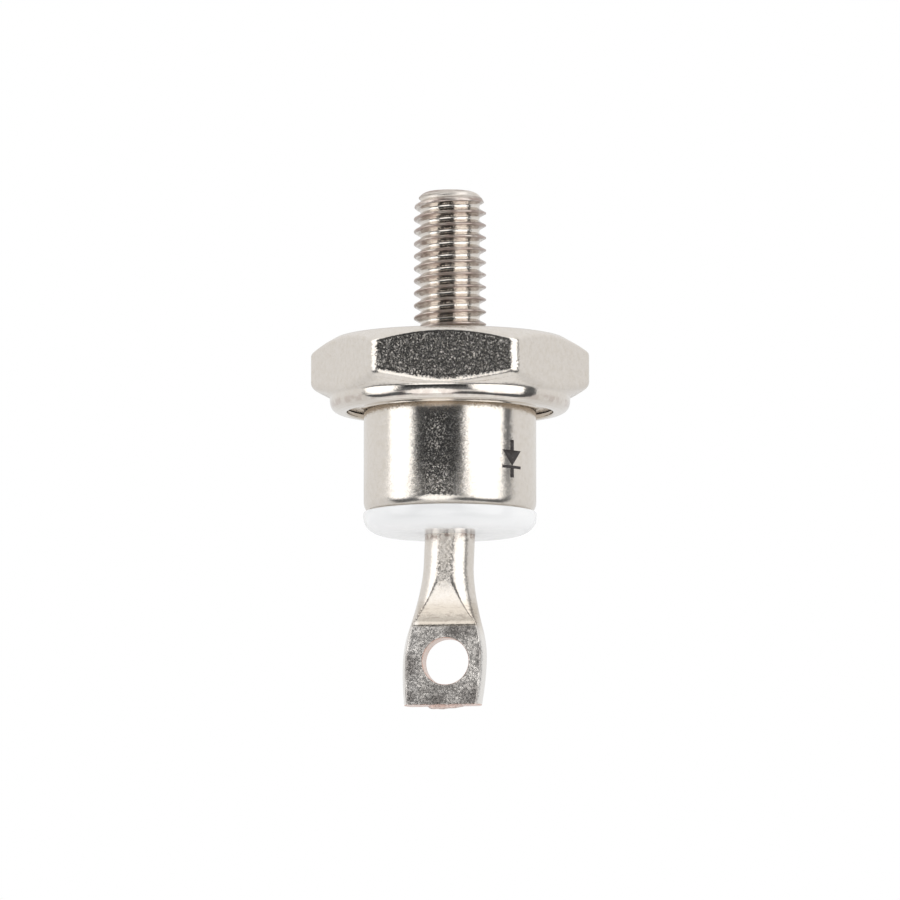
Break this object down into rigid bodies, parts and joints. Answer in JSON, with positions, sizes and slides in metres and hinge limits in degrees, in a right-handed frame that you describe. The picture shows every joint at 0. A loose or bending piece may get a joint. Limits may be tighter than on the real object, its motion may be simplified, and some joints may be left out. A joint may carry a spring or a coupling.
{
  "type": "stud diode",
  "caption": "Stud-mounted power rectifier diode: threaded copper stud with hexagon and rolled collar, steel can, white insulator and a flattened tube terminal with a screw hole.",
  "frame": {"origin": "on the axis, in the plane of the hexagon's face that seats on a heat sink", "axes": "+Z along the stud, away from the hexagon; the terminal points to -Z; -Y is square to one flat of the hexagon"},
  "size_m": [0.0222, 0.0196, 0.0414],
  "materials": {
    "nickel_on_copper": "bright nickel plating over turned and pressed copper, with a copper tint at cut edges and in the thread",
    "nickel_on_steel": "bright nickel plating over drawn steel, with a fine grain",
    "white_glaze": "glossy white",
    "solder": "dull grey solder",
    "molybdenum": "lapped grey metal",
    "silicon": "polished dark wafer",
    "silicone_rubber": "matte silicone",
    "copper": "bare copper"
  },
  "bodies": {
    "root": {"stud_base": "nickel_on_copper", "can_shell": "nickel_on_steel", "insulator_bead": "white_glaze", "terminal_tube": "nickel_on_copper", "base_solder": "solder", "base_moly_disc": "molybdenum", "silicon_die": "silicon", "junction_coating": "silicone_rubber", "lead_moly_disc": "molybdenum", "lead_solder": "solder", "contact_cup": "copper", "inner_lead": "copper"}
  },
  "joints": []
}
